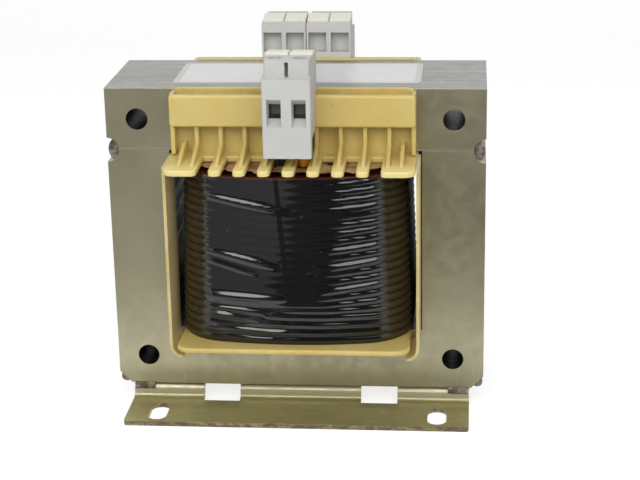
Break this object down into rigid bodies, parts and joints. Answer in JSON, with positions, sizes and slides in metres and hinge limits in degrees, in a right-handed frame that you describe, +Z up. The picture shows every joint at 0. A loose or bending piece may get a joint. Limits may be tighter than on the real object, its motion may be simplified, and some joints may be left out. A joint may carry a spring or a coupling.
{
  "type": "laminated chassis transformer",
  "caption": "Chassis transformer with a welded EI lamination stack, a wrapped coil on a moulded former, screw terminal blocks on both sides and slotted folded feet.",
  "frame": {"origin": "centre of the footprint, on the surface that the feet stand on", "axes": "+X across the core to the right seen from the single terminal block, +Y through the stack from that front to the rear, +Z up"},
  "size_m": [0.15, 0.1108, 0.1504],
  "materials": {
    "lamination_steel": "varnished electrical steel, satin",
    "weld_metal": "rough weld with heat tint",
    "passivated_steel": "yellow passivated sheet",
    "former_plastic": "pale yellow moulding",
    "winding_copper": "enamelled copper wire",
    "insulating_paper": "tan insulating paper",
    "wrap_film": "black film drawn over the turns",
    "terminal_plastic": "light grey moulding",
    "marker_plastic": "cream blank markers",
    "plated_steel": "zinc plated",
    "contact_brass": "tinned brass",
    "black_insulation": "black wire insulation",
    "amber_sleeve": "amber insulating sleeve",
    "label_film": "blank white film"
  },
  "bodies": {
    "root": {"e_lamination_stack": "lamination_steel", "i_lamination_stack": "lamination_steel", "left_yoke_weld": "weld_metal", "right_yoke_weld": "weld_metal", "left_corner_weld": "weld_metal", "right_corner_weld": "weld_metal", "front_foot_tacks": "weld_metal", "rear_foot_tacks": "weld_metal", "front_foot": "passivated_steel", "rear_foot": "passivated_steel", "coil_former": "former_plastic", "left_side_liner": "former_plastic", "right_side_liner": "former_plastic", "primary_winding": "winding_copper", "secondary_winding": "winding_copper", "interlayer_paper": "insulating_paper", "head_paper": "insulating_paper", "outer_film": "wrap_film", "front_twin_lead": "black_insulation", "front_sleeved_lead": "amber_sleeve", "rear_leads": "black_insulation", "blank_label": "label_film", "front_housing": "terminal_plastic", "front_markers": "marker_plastic", "front_clamp_cages": "plated_steel", "front_clamp_screws": "plated_steel", "front_contact_bars": "contact_brass", "rear_left_housing": "terminal_plastic", "rear_left_markers": "marker_plastic", "rear_left_clamp_cages": "plated_steel", "rear_left_clamp_screws": "plated_steel", "rear_left_contact_bars": "contact_brass", "rear_right_housing": "terminal_plastic", "rear_right_markers": "marker_plastic", "rear_right_clamp_cages": "plated_steel", "rear_right_clamp_screws": "plated_steel", "rear_right_contact_bars": "contact_brass"}
  },
  "joints": []
}
